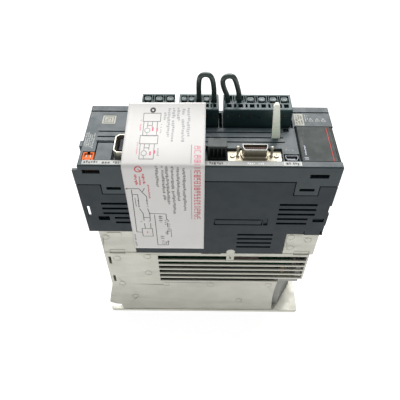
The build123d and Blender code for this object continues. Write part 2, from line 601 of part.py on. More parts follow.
def terminal_tool():
    """The pale lever that opens the spring terminals, parked in its slot."""
    x0, x1, y0, y1 = 42.4, 47.6, -2.1, 0.3
    outline = Polyline((x0, y1, 177), (x1, y1, 177), (x1, y1, 185.5), (44.4, y1, 209.0), (43.5, y1, 210.7),
                       (41.6, y1, 210.7), (40.6, y1, 209.0), (x0, y1, 185.5), close=True)
    stick = extrude(make_face(outline), amount=y1 - y0, dir=(0, -1, 0))
    levels = (187, 189.2, 191.4, 193.6, 195.8)
    grooves = [block(x0 - 1, x1 + 1, y0 - 1, y0 + 0.35, z, z + 0.8) for z in levels]
    return stick - grooves


# ---- small connectors --------------------------------------------------------------------
def sto_socket():
    x0, x1 = STO_X
    body = block(x0 - 0.2, x1 + 0.2, STO_Y[0] - 0.2, STO_Y[1] + 0.2, 168, 180.9)
    return body - block(x0 + 0.9, x1 - 0.9, STO_Y[0] + 0.8, STO_Y[1] - 0.8, 171, 182)


def sto_plug():
    """Short-circuit plug: a block with deep finger grooves on its near face."""
    x0, x1 = STO_X
    y0, y1 = STO_Y
    body = block(x0, x1, y0, y1, 181.5, STO_TOP)
    tongue = block(x0 + 1.2, x1 - 1.2, y0 + 1.1, y1 - 1.1, 171.6, 182)
    grooves = [block(x, x + 1.9, y0 - 1, y0 + 2.6, 183.0, STO_TOP - 1.6) for x in (1.9, 4.5, 7.0, 9.5)]
    notch = block(4.2, 8.2, y1 - 1.4, y1 + 1, 188, STO_TOP + 1)
    return body + tongue - [*grooves, notch]


def io_shell():
    """Flange plate and D-shaped shell of the input/output connector."""
    px0, px1 = IO_PLATE_X
    py0, py1 = IO_PLATE_Y
    plate = block(px0, px1, py0, py1, IO_PLATE_Z - 0.6, IO_PLATE_Z)
    plate = fillet(plate.edges().filter_by(Axis.Z), 0.8)
    outer = d_shape(IO_X, IO_Y, 16.0, 5.8, 1.2, IO_PLATE_Z - 0.3, IO_PLATE_Z + 7.6)
    skirt = d_shape(IO_X, IO_Y - 0.2, 17.8, 7.2, 1.4, IO_PLATE_Z - 0.3, IO_PLATE_Z + 1.6)
    inner = d_shape(IO_X, IO_Y, 14.6, 4.4, 1.0, IO_PLATE_Z - 2, IO_PLATE_Z + 9)
    holes = [rod_z(x, IO_Y - 0.2, 180, 185, 1.3) for x in IO_SCREW_X]
    posts = [rod_z(x, IO_Y, 180, 185, 0.85) for x in IO_POST_X]
    return plate + [skirt, outer] - [inner, *holes, *posts]


def d_shape(x, y, length, width, slant, z0, z1):
    """A bar with its near side shorter than its far side, like a D connector."""
    half, deep = length / 2, width / 2
    points = [(x - half, y + deep), (x + half, y + deep), (x + half - 0.1, y), (x + half - slant, y - deep),
              (x - half + slant, y - deep), (x - half + 0.1, y)]
    return plate_xy(points, z0, z1)


def io_insulator():
    """Moulded body with the tongue that carries the contacts."""
    body = block(IO_X - 8.6, IO_X + 8.6, IO_Y - 3.2, IO_Y + 3.2, 171, IO_PLATE_Z - 0.7)
    tongue = block(IO_X - 6.4, IO_X + 6.4, IO_Y - 0.7, IO_Y + 0.7, IO_PLATE_Z - 1, IO_PLATE_Z + 6.6)
    return body + tongue


def io_contacts():
    """Two rows of ten flat contacts on the tongue."""
    made = []
    for i in range(10):
        x = IO_X + (i - 4.5) * 1.27
        for y0, y1 in ((IO_Y - 1.05, IO_Y - 0.7), (IO_Y + 0.7, IO_Y + 1.05)):
            made.append(block(x - 0.3, x + 0.3, y0, y1, IO_PLATE_Z - 0.6, IO_PLATE_Z + 6.2))
    return made


def io_latch_posts():
    """Ball-ended posts that a cable plug's latches grip."""
    made = []
    for x in IO_POST_X:
        stem = rod_z(x, IO_Y, IO_PLATE_Z - 0.5, 189.6, 0.8)
        collar = rod_z(x, IO_Y, IO_PLATE_Z, IO_PLATE_Z + 1.2, 1.2)
        made.append(stem + [collar, Pos(x, IO_Y, 189.8) * Sphere(1.25)])
    return made


def io_screws():
    made = []
    for x in IO_SCREW_X:
        screw = pan_screw(1.6, 0.9, 1.2, 4.0)
        made.append(Pos(x, IO_Y - 0.2, IO_PLATE_Z) * screw)
    return made


def usb_socket():
    outer = d_shape(USB_X, USB_Y, 8.2, 4.4, 1.2, 172, 184.6)
    inner = d_shape(USB_X, USB_Y, 7.2, 3.4, 1.1, 176, 186)
    tongue = block(USB_X - 2.4, USB_X + 2.4, USB_Y - 0.4, USB_Y + 0.5, 175, 183.4)
    return outer - inner + tongue


def encoder_shell():
    x0, x1 = ENCODER_X
    y0, y1 = ENCODER_Y
    outer = block(x0, x1, y0, y1, 181.3, 189.6)
    outer = chamfer(outer.edges().filter_by(Axis.Z), 2.2)
    inner = block(x0 + 0.7, x1 - 0.7, y0 + 0.7, y1 - 0.7, 180, 191)
    inner = chamfer(inner.edges().filter_by(Axis.Z), 1.9)
    return outer - inner


def encoder_insulator():
    x0, x1 = ENCODER_X
    y0, y1 = ENCODER_Y
    body = block(x0 + 0.9, x1 - 0.9, y0 + 0.9, y1 - 0.9, 170, 182.6)
    body = chamfer(body.edges().filter_by(Axis.Z), 1.9)
    tongue = block(x0 + 3.4, x1 - 3.4, y0 + 3.2, y1 - 3.2, 182, 188.4)
    return body + tongue


def optical_sockets():
    made = []
    for x0 in (-42.4, -23.2):
        body = block(x0, x0 + 15.8, -22.0, -11.0, 170, 187.0)
        window = block(x0 + 2.4, x0 + 13.4, -20.4, -12.6, 182.5, 188)
        ferrules = [rod_z(x, -16.5, 182, 186.2, 1.5) for x in (x0 + 5.1, x0 + 10.7)]
        made.append(body - window + ferrules)
    return made


def battery_socket():
    x0, x1 = BATTERY_X
    y0, y1 = BATTERY_Y
    body = block(x0, x1, y0, y1, 176.0, 184.8)
    cavity = block(x0 + 0.9, x1 - 0.9, y0 + 2.6, y1 - 1.0, 179, 186)
    key = block(x0 + 2.6, x1 - 2.6, y1 - 1.4, y1 + 1, 180, 186)
    pins = [block(x - 0.3, x + 0.3, y0 + 4.2, y0 + 4.8, 178.5, 183.4) for x in (x0 + 2.4, x0 + 4.6)]
    rib = [block(x, x + 0.8, y0 - 1, y0 + 1.0, 181, 186) for x in (x0 + 1.0, x1 - 1.8)]
    return body - [cavity, key, *rib] + pins


def port_blank():
    plate = block(-70.1, -59.4, -24.7, -8.3, 182.8, 184.7)
    return chamfer(plate.edges().group_by(Axis.Z)[-1], 0.4)


def charge_lamp():
    body = block(50.6, 53.6, 3.2, 6.2, 176, 184.2)
    return fillet(body.edges().group_by(Axis.Z)[-1], 0.6)


# ---- fasteners, labels and paper -----------------------------------------------------------
def earth_screws():
    screw = pan_screw(4.0, 2.6, 1.65, 7.5)
    washer = Pos(0, 0, -0.4) * Cylinder(4.5, 0.8)
    made = []
    for y in (-EARTH_SCREW_Y, EARTH_SCREW_Y):
        made.append(Pos(EARTH_START - 0.85, y, EARTH_SCREW_Z) * Rot(0, -90, 0) * (screw + washer))
    return made


def cover_screws():
    made = []
    for y in (-COVER_SCREW_Y, COVER_SCREW_Y):
        low = pan_screw(2.8, 1.9, 1.2, 7.0)
        made.append(Pos(EARTH_START - WALL - 0.1, y, COVER_SCREW_Z) * Rot(0, -90, 0) * low)
        high = pan_screw(2.8, 1.9, 1.2, 5.0)
        made.append(Pos(ROOF_END + WALL + 0.1, y, COVER_SCREW_Z) * Rot(0, 90, 0) * high)
    return made


def port_label():
    return block(-77.0, 58.4, -29.2, STRIP_Y - 0.2, DEPTH, DEPTH + 0.25)


def leaflet():
    """Folded paper: flat on the right side, over the front edge and up across the front."""
    middle = [(-30.5, 99.6), (-30.5, 183.8), (-29.9, 186.4), (-22.0, 190.4), (-7.0, 195.0),
              (2.0, 197.6), (9.4, 202.6)]
    outer = offset_line(middle, PAPER_T / 2)
    inner = offset_line(middle, -PAPER_T / 2)
    outline = Polyline(*[(PAPER_X[0], y, z) for y, z in outer + inner[::-1]], close=True)
    return extrude(make_face(outline), amount=PAPER_X[1] - PAPER_X[0], dir=(1, 0, 0))


def offset_line(points, distance):
    """The same open line moved sideways, with mitred corners, in the y-z plane."""
    moved = []
    for i, (y, z) in enumerate(points):
        before = points[max(i - 1, 0)]
        after = points[min(i + 1, len(points) - 1)]
        first = Vector(y - before[0], z - before[1], 0) if i else None
        last = Vector(after[0] - y, after[1] - z, 0) if i < len(points) - 1 else None
        first = (first or last).normalized()
        last = (last or first).normalized()
        along = (first + last).normalized()
        reach = distance / along.dot(first)
        moved.append((y - along.Y * reach, z + along.X * reach))
    return moved


# ---- assembly -------------------------------------------------------------------------------
def nodes():
    right_wall = cast_wall()
    right_cover = side_cover()
    main, control, motor = PLUGS["main"], PLUGS["control"], PLUGS["motor"]
    made = {
        "heatsink": heatsink(),
        "cast_wall_right": right_wall,
        "cast_wall_left": mirrored(right_wall),
        "fan_frame": fan_frame(),
        "fan_rotor": fan_rotor(),
        "fan_screws": fan_screws(),
        "power_module": power_module(),
        "power_board": power_board(),
        "board_standoffs": board_standoffs(),
        "bus_capacitors": bus_capacitors(),
        "inrush_relay": inrush_relay(),
        "control_transformer": control_transformer(),
        "control_board": control_board(),
        "interface_board": interface_board(),
        "display_module": display_module(),
        "rotary_switch_body": rotary_switch_body(),
        "rotary_switch_dial": rotary_switch_dial(),
        "dip_switch_body": dip_switch_body(),
        "side_cover_right": right_cover,
        "side_cover_left": mirrored(right_cover),
        "bottom_end_cover": end_cover(EARTH_START - WALL - 0.1, 59.0),
        "top_end_cover": end_cover(ROOF_END + 0.1, 55.0),
        "front_case": front_case(),
        "display_cover": display_cover(),
        "cover_hinge_pin": cover_hinge_pin(),
        "main_header": header(main),
        "control_header": header(control),
        "motor_header": header(motor),
        "header_pins": header_pins(),
        "main_plug": terminal_plug(main),
        "control_plug": terminal_plug(control),
        "motor_plug": terminal_plug(motor),
        "main_plug_contacts": plug_contacts(main),
        "control_plug_contacts": plug_contacts(control),
        "motor_plug_contacts": plug_contacts(motor),
        "main_jumper": jumper(MAIN_LINK),
        "control_jumper": jumper(CONTROL_LINK),
        "terminal_tool": terminal_tool(),
        "sto_socket": sto_socket(),
        "sto_plug": sto_plug(),
        "io_shell": io_shell(),
        "io_insulator": io_insulator(),
        "io_contacts": io_contacts(),
        "io_latch_posts": io_latch_posts(),
        "io_screws": io_screws(),
        "usb_socket": usb_socket(),
        "encoder_shell": encoder_shell(),
        "encoder_insulator": encoder_insulator(),
        "optical_sockets": optical_sockets(),
        "battery_socket": battery_socket(),
        "port_blank": port_blank(),
        "charge_lamp": charge_lamp(),
        "earth_screws": earth_screws(),
        "cover_screws": cover_screws(),
        "port_label": port_label(),
        "caution_leaflet": leaflet(),
    }
    for i, y in enumerate(DIP_Y):
        made[f"dip_slider_{i + 1}"] = dip_slider(y)
    return made


def save(name, made):
    solids = made if isinstance(made, list) else made.solids()
    export_step(Compound(children=list(solids)), f"parts/{name}.step")


for node_name, node_shape in nodes().items():
    save(node_name, node_shape)
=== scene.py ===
"""Looks of a book-type servo drive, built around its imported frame.

The scene is in metres and in the frame of the part: the origin is the centre of the
mounting back face, +Z runs to the front panel, +X to the top end and +Y to the left side.
Printing and small pieces are placed in millimetres in that same frame.
"""
import math
import random

import bmesh
import bpy
from mathutils import Matrix, Vector


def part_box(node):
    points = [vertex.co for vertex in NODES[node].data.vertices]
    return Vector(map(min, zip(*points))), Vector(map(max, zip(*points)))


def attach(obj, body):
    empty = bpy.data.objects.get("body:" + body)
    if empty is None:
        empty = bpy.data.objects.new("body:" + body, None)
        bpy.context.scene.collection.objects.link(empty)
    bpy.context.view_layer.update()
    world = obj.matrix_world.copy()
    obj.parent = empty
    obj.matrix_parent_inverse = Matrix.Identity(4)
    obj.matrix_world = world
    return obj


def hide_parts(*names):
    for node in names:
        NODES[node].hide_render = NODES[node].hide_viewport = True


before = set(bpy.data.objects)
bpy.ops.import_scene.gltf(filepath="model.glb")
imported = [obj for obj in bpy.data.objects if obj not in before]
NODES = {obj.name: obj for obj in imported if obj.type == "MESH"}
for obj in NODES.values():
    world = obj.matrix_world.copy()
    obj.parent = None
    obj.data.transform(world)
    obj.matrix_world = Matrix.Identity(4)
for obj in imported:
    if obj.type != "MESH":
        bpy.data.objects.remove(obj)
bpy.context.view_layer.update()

MM = 0.001


def span(node, axis):
    """The lowest and highest place of a node along an axis, in millimetres."""
    low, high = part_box(node)
    return round(low[axis] / MM, 3), round(high[axis] / MM, 3)


def top_of(node):
    """The height of a node's highest point, in millimetres."""
    return span(node, 2)[1]


# ---- driving places, in millimetres ---------------------------------------------------
FRONT_Z = top_of("front_case")
LABEL_TOP = top_of("port_label")
PLUG_TOP = top_of("main_plug")
IO_TONGUE_TOP = top_of("io_insulator")
WIRE_D = 3.5
PLUGS = {                      # x is the place of the first pole, and wired lists the poles with a wire
    "main": {"x": 14.1, "poles": 6, "pitch": 7.5, "wired": (0, 1)},
    "control": {"x": -15.35, "poles": 5, "pitch": 5.0, "wired": (2, 4)},
    "motor": {"x": -39.55, "poles": 3, "pitch": 7.5, "wired": ()},
}


# ---- camera -----------------------------------------------------------------------------
CAMERA_PLACE = (-0.0025, -0.2289, 0.3805)      # metres
CAMERA_LENS = 41.05                            # millimetres, on a 36 mm sensor
CAMERA_PITCH = math.radians(48.70)             # down
CAMERA_YAW = math.radians(0.46)
CAMERA_ROLL = math.radians(0.16)


def make_camera():
    """Above and in front of the right side, looking down at the front panel."""
    right = Vector((math.cos(CAMERA_YAW), math.sin(CAMERA_YAW), 0))
    ahead = Vector((-math.sin(CAMERA_YAW), math.cos(CAMERA_YAW), 0))
    z_axis = Vector((0, 0, 1))
    forward = ahead * math.cos(CAMERA_PITCH) - z_axis * math.sin(CAMERA_PITCH)
    up = z_axis * math.cos(CAMERA_PITCH) + ahead * math.sin(CAMERA_PITCH)
    turned_right = right * math.cos(CAMERA_ROLL) + up * math.sin(CAMERA_ROLL)
    turned_up = up * math.cos(CAMERA_ROLL) - right * math.sin(CAMERA_ROLL)
    data = bpy.data.cameras.new("camera")
    data.sensor_width = 36.0
    data.lens = CAMERA_LENS
    data.clip_start = 0.01
    camera = bpy.data.objects.new("camera", data)
    axes = Matrix((turned_right, turned_up, -forward)).transposed()
    camera.matrix_world = Matrix.Translation(CAMERA_PLACE) @ axes.to_4x4()
    bpy.context.scene.collection.objects.link(camera)
    bpy.context.scene.camera = camera


make_camera()


# ---- wire links ---------------------------------------------------------------------------
def wire_link(name, points):
    """A smooth wire through control points given in metres."""
    curve = bpy.data.curves.new(name, "CURVE")
    curve.dimensions = "3D"
    spline = curve.splines.new("NURBS")
    spline.points.add(len(points) - 1)
    for point, place in zip(spline.points, points):
        point.co = (*place, 1.0)
        point.radius = WIRE_D / 2 * MM
    spline.order_u = 3
    spline.use_endpoint_u = True
    spline.resolution_u = 16
    curve.bevel_depth = 1.0        # times each point's radius
    curve.bevel_resolution = 8
    curve.use_fill_caps = True
    wire = bpy.data.objects.new(name, curve)
    bpy.context.scene.collection.objects.link(wire)
    return wire


main_wire = wire_link("main_wire_link", [
    (0.0141, 0.0220, 0.1888), (0.0141, 0.0220, 0.1980), (0.0105, 0.0221, 0.2062),
    (0.0097, 0.0223, 0.2112), (0.0114, 0.0223, 0.2139), (0.0146, 0.0223, 0.2148),
    (0.0174, 0.0223, 0.2133), (0.0196, 0.0221, 0.2068), (0.0216, 0.0220, 0.1986),
    (0.0216, 0.0220, 0.1888)])
control_wire = wire_link("control_wire_link", [
    (-0.00535, 0.0220, 0.1888), (-0.00535, 0.0220, 0.1993), (-0.0056, 0.0221, 0.2063),
    (-0.00525, 0.0223, 0.2131), (-0.0028, 0.0223, 0.2155), (0.0006, 0.0223, 0.2155),
    (0.0031, 0.0223, 0.2131), (0.0044, 0.0221, 0.2060), (0.00465, 0.0220, 0.1993),
    (0.00465, 0.0220, 0.1888)])
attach(main_wire, "main_plug")
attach(control_wire, "control_plug")
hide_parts("main_jumper")
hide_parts("control_jumper")


# ---- materials ------------------------------------------------------------------------------
GRAIN_HEIGHT = 0.00006          # metres, of the fine raised grain of every finish
PATCH_RATIO = 7                 # patches of gloss are this much finer than clouds of colour
FIN_SHADE_Z = (0.0033, 0.0045)  # metres: the heat sink is pale below this, and above it painted shade darkens it between its fins
FOOT_SHADE_Z = (0.004, 0.055)         # metres: painted shade darkens the cast walls downwards here, standing in for the shadow near the floor
SHELL_WALL_Z = (0.1845, 0.1850)     # metres: the connector's flange turns into its wall here
SHELL_RIM_Z = (0.1896, 0.1902)      # and its wall into its rim here


def noise(tree, coords, scale, detail, stretch=None):
    """A noise texture on object coordinates, with its own scale along each axis if asked."""
    texture = tree.nodes.new("ShaderNodeTexNoise")
    texture.inputs["Scale"].default_value = scale
    texture.inputs["Detail"].default_value = detail
    if stretch:
        mapping = tree.nodes.new("ShaderNodeMapping")
        mapping.inputs["Scale"].default_value = stretch
        tree.links.new(coords, mapping.inputs["Vector"])
        coords = mapping.outputs["Vector"]
    tree.links.new(coords, texture.inputs["Vector"])
    return texture.outputs["Fac"]


def spread(tree, value, low, high, start=0.35, end=0.65):
    """Maps a value between start and end to a value between low and high."""
    node = tree.nodes.new("ShaderNodeMapRange")
    node.inputs["From Min"].default_value = start
    node.inputs["From Max"].default_value = end
    node.inputs["To Min"].default_value = low
    node.inputs["To Max"].default_value = high
    tree.links.new(value, node.inputs["Value"])
    return node.outputs["Result"]


def blend_colours(tree, factor, first, second):
    """A colour between two others, as a varying factor says."""
    node = tree.nodes.new("ShaderNodeMix")
    node.data_type = "RGBA"
    colour_sockets = [socket for socket in node.inputs if socket.type == "RGBA"]
    for socket, colour in zip(colour_sockets, (first, second)):
        if isinstance(colour, bpy.types.NodeSocket):
            tree.links.new(colour, socket)
        else:
            socket.default_value = (*colour, 1.0)
    factor_socket = next(socket for socket in node.inputs if socket.type == "VALUE")
    tree.links.new(factor, factor_socket)
    return next(socket for socket in node.outputs if socket.type == "RGBA")


def surface(name, colour, rough, metallic=0.0, shade=0.12, blotch=22.0, grain=2600.0, bump=0.2,
            swing=0.07, coat=0.0, soft=0.0, gloss=0.5):
    """A moulded, cast or plated finish: cloudy colour and gloss, and a fine raised grain."""
    material = bpy.data.materials.new(name)
    material.use_nodes = True
    tree = material.node_tree
    shader = tree.nodes["Principled BSDF"]
    shader.inputs["Metallic"].default_value = metallic
    shader.inputs["Specular IOR Level"].default_value = gloss
    shader.inputs["Coat Weight"].default_value = coat
    shader.inputs["Coat Roughness"].default_value = 0.12
    shader.inputs["Subsurface Weight"].default_value = soft
    shader.inputs["Subsurface Scale"].default_value = 0.002
    coords = tree.nodes.new("ShaderNodeTexCoord").outputs["Object"]
    cloud = noise(tree, coords, blotch, 5.0)
    darker = [c * (1 - shade) for c in colour]
    lighter = [min(1.0, c * (1 + shade)) for c in colour]
    base = blend_colours(tree, spread(tree, cloud, 0.0, 1.0), darker, lighter)
    tree.links.new(base, shader.inputs["Base Color"])
    patches = noise(tree, coords, blotch * PATCH_RATIO, 4.0)
    tree.links.new(spread(tree, patches, rough - swing, rough + swing), shader.inputs["Roughness"])
    raised = tree.nodes.new("ShaderNodeBump")
    raised.inputs["Strength"].default_value = bump
    raised.inputs["Distance"].default_value = GRAIN_HEIGHT
    tree.links.new(noise(tree, coords, grain, 3.0), raised.inputs["Height"])
    tree.links.new(raised.outputs["Normal"], shader.inputs["Normal"])
    return material


def sockets_of(material):
    """What a change of a finish needs: its node tree, object coordinates, height and colour input."""
    tree = material.node_tree
    coords = tree.nodes.new("ShaderNodeTexCoord").outputs["Object"]
    split = tree.nodes.new("ShaderNodeSeparateXYZ")
    tree.links.new(coords, split.inputs["Vector"])
    return tree, coords, split.outputs["Z"], tree.nodes["Principled BSDF"].inputs["Base Color"]


def cast_metal(name, fins=False):
    """As-cast aluminium: warm grey with flow marks, and painted shade towards the foot or between the fins.
    """
    material = surface(name, (0.67, 0.66, 0.58), 0.52, metallic=0.35, shade=0.07, blotch=16.0,
                       grain=1500.0, bump=0.55, swing=0.1)
    tree, coords, height, colour = sockets_of(material)
    streaks = noise(tree, coords, 60.0, 6.0, stretch=(0.25, 1.0, 1.6))
    marks = spread(tree, streaks, 0.0, 0.45, start=0.5, end=0.75)
    stained = blend_colours(tree, marks, colour.links[0].from_socket, (0.44, 0.43, 0.38))
    # Painted shade: the dark blend below darkens the heat sink between its fins, or the cast walls towards
    # the foot near the floor.
    if fins:
        depth = spread(tree, height, 0.0, 1.0, *FIN_SHADE_Z)
        dark = (0.33, 0.33, 0.31)
    else:
        depth = spread(tree, height, 0.75, 0.0, *FOOT_SHADE_Z)
        dark = (0.39, 0.39, 0.33)
    tree.links.new(blend_colours(tree, depth, stained, dark), colour)
    return material


def plated_metal():
    """A pale gold flange, a darker shell wall above it, and a nickel rim."""
    material = surface("plated_shell", (0.56, 0.505, 0.39), 0.42, metallic=0.6, shade=0.08,
                       blotch=120.0, bump=0.1)
    tree, _, height, colour = sockets_of(material)
    wall = spread(tree, height, 0.0, 1.0, *SHELL_WALL_Z)
    rim = spread(tree, height, 0.0, 1.0, *SHELL_RIM_Z)
    walled = blend_colours(tree, wall, colour.links[0].from_socket, (0.36, 0.32, 0.235))
    tree.links.new(blend_colours(tree, rim, walled, (0.30, 0.30, 0.285)), colour)
    return material


LOOKS = {
    # metals
    "cast": cast_metal("cast_aluminium"),
    "sink": cast_metal("cast_heat_sink", fins=True),
    "usb": surface("usb_shell", (0.20, 0.21, 0.225), 0.50, metallic=0.5, blotch=90.0, bump=0.12),
    "zinc": surface("zinc_steel", (0.40, 0.41, 0.42), 0.38, metallic=0.85, blotch=90.0, bump=0.12),
    "plated": plated_metal(),
    "bright": surface("bright_plating", (0.62, 0.59, 0.50), 0.38, metallic=0.6, blotch=90.0, bump=0.08),
    "gold": surface("gold_contact", (0.85, 0.50, 0.22), 0.30, metallic=0.9, blotch=200.0),
    "tip": surface("contact_tip", (0.20, 0.075, 0.025), 0.60, metallic=0.2, blotch=200.0, gloss=0.2),
    "brass": surface("brass", (0.78, 0.52, 0.24), 0.32, metallic=0.9, blotch=150.0),
    "spacer": surface("spacer_brass", (0.16, 0.11, 0.055), 0.55, metallic=0.5, blotch=150.0),
    # plastics
    "housing": surface("housing_grey", (0.024, 0.039, 0.045), 0.40, grain=3200.0, bump=0.30, gloss=0.44),
    "housing_dark": surface("housing_dark", (0.005, 0.015, 0.022), 0.42, grain=3200.0, bump=0.30, gloss=0.34),
    "smoky": surface("smoky_cover", (0.030, 0.038, 0.034), 0.48, grain=2200.0, bump=0.10, gloss=0.22),
    "terminal": surface("terminal_black", (0.030, 0.060, 0.062), 0.38, grain=2600.0, bump=0.15),
    "wire": surface("wire_jacket", (0.045, 0.068, 0.062), 0.24, grain=700.0, bump=0.10, coat=0.6),
    "insert": surface("entry_insert", (0.15, 0.175, 0.175), 0.45, blotch=200.0, shade=0.25),
    "cream": surface("cream_plastic", (0.84, 0.87, 0.76), 0.40, soft=0.15, shade=0.04),
    "sto": surface("sto_grey", (0.036, 0.048, 0.045), 0.46, gloss=0.34),
    "black": surface("black_plastic", (0.022, 0.023, 0.026), 0.45),
    "connector": surface("connector_black", (0.012, 0.013, 0.018), 0.50, gloss=0.2),
    "orange": surface("orange_plastic", (0.58, 0.105, 0.016), 0.60, shade=0.1, soft=0.1, gloss=0.2),
    "lamp": surface("lamp_red", (0.007, 0.005, 0.006), 0.35, gloss=0.25),
    "glass_black": surface("display_black", (0.012, 0.012, 0.013), 0.18, coat=0.3),
    "white": surface("white_plastic", (0.78, 0.78, 0.74), 0.42, soft=0.05),
    "red": surface("switch_red", (0.42, 0.03, 0.02), 0.40),
    # boards and what stands on them
    "board": surface("circuit_board", (0.02, 0.12, 0.05), 0.35, coat=0.2, blotch=70.0),
    "resin": surface("module_resin", (0.03, 0.03, 0.034), 0.55),
    "sleeve": surface("capacitor_sleeve", (0.02, 0.03, 0.07), 0.28, coat=0.25),
    "copper": surface("copper_brown", (0.055, 0.032, 0.020), 0.60, blotch=160.0, shade=0.3),
    # film, paper and inks
    "label": surface("label_film", (0.27, 0.28, 0.265), 0.50, shade=0.05),
    "paper": surface("paper", (0.80, 0.782, 0.757), 0.62, shade=0.02, blotch=60.0, grain=900.0, bump=0.12),
    "ink_white": surface("ink_white", (0.62, 0.64, 0.63), 0.55, shade=0.06),
    "ink_pale": surface("ink_pale", (0.40, 0.41, 0.39), 0.55, shade=0.06),
    "ink_cream": surface("ink_cream", (0.36, 0.355, 0.30), 0.55, shade=0.06),
    "ink_lavender": surface("ink_lavender", (0.52, 0.52, 0.62), 0.55, shade=0.06),
    "ink_dark": surface("ink_dark", (0.045, 0.050, 0.050), 0.55, shade=0.1),
    "ink_grey": surface("ink_grey", (0.24, 0.23, 0.23), 0.60, shade=0.15),
    "ink_black": surface("ink_black", (0.05, 0.048, 0.048), 0.60, shade=0.15),
    "ink_faint": surface("ink_faint", (0.48, 0.48, 0.49), 0.60, shade=0.08),
    "ink_red": surface("ink_red", (0.66, 0.055, 0.09), 0.60, shade=0.08),
    "ink_pink": surface("ink_pink", (0.84, 0.20, 0.30), 0.60, shade=0.08),
    "line_red": surface("line_red", (0.42, 0.035, 0.030), 0.50, shade=0.06, gloss=0.3),
}

# The pale plastics get painted light: a little emission glow, as its strength and tint.
PAINTED_GLOWS = {
    "cream": (0.18, (0.86, 1.0, 0.82)),
    "white": (0.04, (0.93, 1.0, 0.86)),
    "orange": (0.06, (1.0, 0.38, 0.10)),
}

# Each node of the frame: its look, and the width of its rounded edges in millimetres.
CAD_LOOKS = {
    "heatsink": ("sink", 0.30), "cast_wall_right": ("cast", 0.30), "cast_wall_left": ("cast", 0.30),
    "fan_frame": ("black", 0.2), "fan_rotor": ("black", 0.0), "fan_screws": ("zinc", 0.0),
    "power_module": ("resin", 0.0), "power_board": ("board", 0.0), "board_standoffs": ("spacer", 0.0),
    "bus_capacitors": ("sleeve", 0.3), "inrush_relay": ("black", 0.0), "control_transformer": ("copper", 0.3),
    "control_board": ("board", 0.0), "interface_board": ("board", 0.0),
    "display_module": ("glass_black", 0.1), "rotary_switch_body": ("black", 0.1),
    "rotary_switch_dial": ("white", 0.1), "dip_switch_body": ("red", 0.1), "dip_slider_1": ("white", 0.1),
    "dip_slider_2": ("white", 0.1), "dip_slider_3": ("white", 0.1), "dip_slider_4": ("white", 0.1),
    "side_cover_right": ("housing_dark", 0.25), "side_cover_left": ("housing_dark", 0.25),
    "bottom_end_cover": ("housing_dark", 0.25), "top_end_cover": ("housing_dark", 0.25),
    "front_case": ("housing", 0.22), "display_cover": ("smoky", 0.2), "cover_hinge_pin": ("zinc", 0.0),
    "main_header": ("terminal", 0.1), "control_header": ("terminal", 0.1), "motor_header": ("terminal", 0.1),
    "header_pins": ("brass", 0.0), "main_plug": ("terminal", 0.14), "control_plug": ("terminal", 0.14),
    "motor_plug": ("terminal", 0.14), "main_plug_contacts": ("brass", 0.0),
    "control_plug_contacts": ("brass", 0.0), "motor_plug_contacts": ("brass", 0.0),
    "terminal_tool": ("cream", 0.3), "sto_socket": ("terminal", 0.1), "sto_plug": ("sto", 0.18),
    "io_shell": ("plated", 0.12), "io_insulator": ("connector", 0.1), "io_contacts": ("gold", 0.0),
    "io_latch_posts": ("bright", 0.0), "io_screws": ("bright", 0.08), "usb_socket": ("usb", 0.08),
    "encoder_shell": ("bright", 0.12), "encoder_insulator": ("connector", 0.15),
    "optical_sockets": ("connector", 0.15), "battery_socket": ("orange", 0.15),
    "port_blank": ("housing", 0.15), "charge_lamp": ("lamp", 0.0), "earth_screws": ("zinc", 0.15),
    "cover_screws": ("zinc", 0.12), "port_label": ("label", 0.0),
}
SHARP_ANGLE = math.radians(38)  # edges that turn more than this are rounded
WELD_GAP = 0.000002             # metres, far below any real detail


def add_painted_glow():
    """Paints light onto the pale plastics as a little emission glow."""
    for plastic, (strength, tint) in PAINTED_GLOWS.items():
        shader = LOOKS[plastic].node_tree.nodes["Principled BSDF"]
        shader.inputs["Emission Color"].default_value = (*tint, 1)
        shader.inputs["Emission Strength"].default_value = strength


def dress_frame():
    """Gives every shown node its finish and its rounded edges."""
    for node, (look, width) in CAD_LOOKS.items():
        part = NODES[node]
        part.data.materials.clear()
        part.data.materials.append(LOOKS[look])
        if width:
            weld = part.modifiers.new("weld", "WELD")
            weld.merge_threshold = WELD_GAP
            bevel = part.modifiers.new("round", "BEVEL")
            bevel.width = width * MM
            bevel.segments = 2
            bevel.limit_method = "ANGLE"
            bevel.angle_limit = SHARP_ANGLE
            bevel.use_clamp_overlap = False
            bevel.harden_normals = True


add_painted_glow()
dress_frame()
for wire in (main_wire, control_wire):
    wire.data.materials.append(LOOKS["wire"])


# ---- mesh helpers ---------------------------------------------------------------------------
INK_LOW = -0.02                 # millimetres: ink starts a little under the face that it is printed on
INK_HIGH = 0.035
BLOCK_LENGTH = (0.30, 0.62)     # of a block of unreadable print, all as shares of the row's size
BLOCK_SHIFT = 0.18              # most, to either side of the row's line
BLOCK_WIDEST = 0.95
BLOCK_GAP = 0.22
ROW_END_GAP = 0.4               # no block starts nearer than this to the row's end


def mesh_piece(name, vertices, faces, look, body, smooth=False):
    """A new mesh that rides on a body; its vertices are in metres."""
    mesh = bpy.data.meshes.new(name)
    mesh.from_pydata([tuple(vertex) for vertex in vertices], [], faces)
    mesh.materials.append(LOOKS[look])
    mesh.update()
    if smooth:
        mesh.shade_smooth()
    piece = bpy.data.objects.new(name, mesh)
    bpy.context.scene.collection.objects.link(piece)
    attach(piece, body)
    return piece


def on_plane(z):
    """Places printing on a flat face: a and b are x and y in millimetres."""
    return lambda a, b, lift: Vector((a, b, z + lift)) * MM


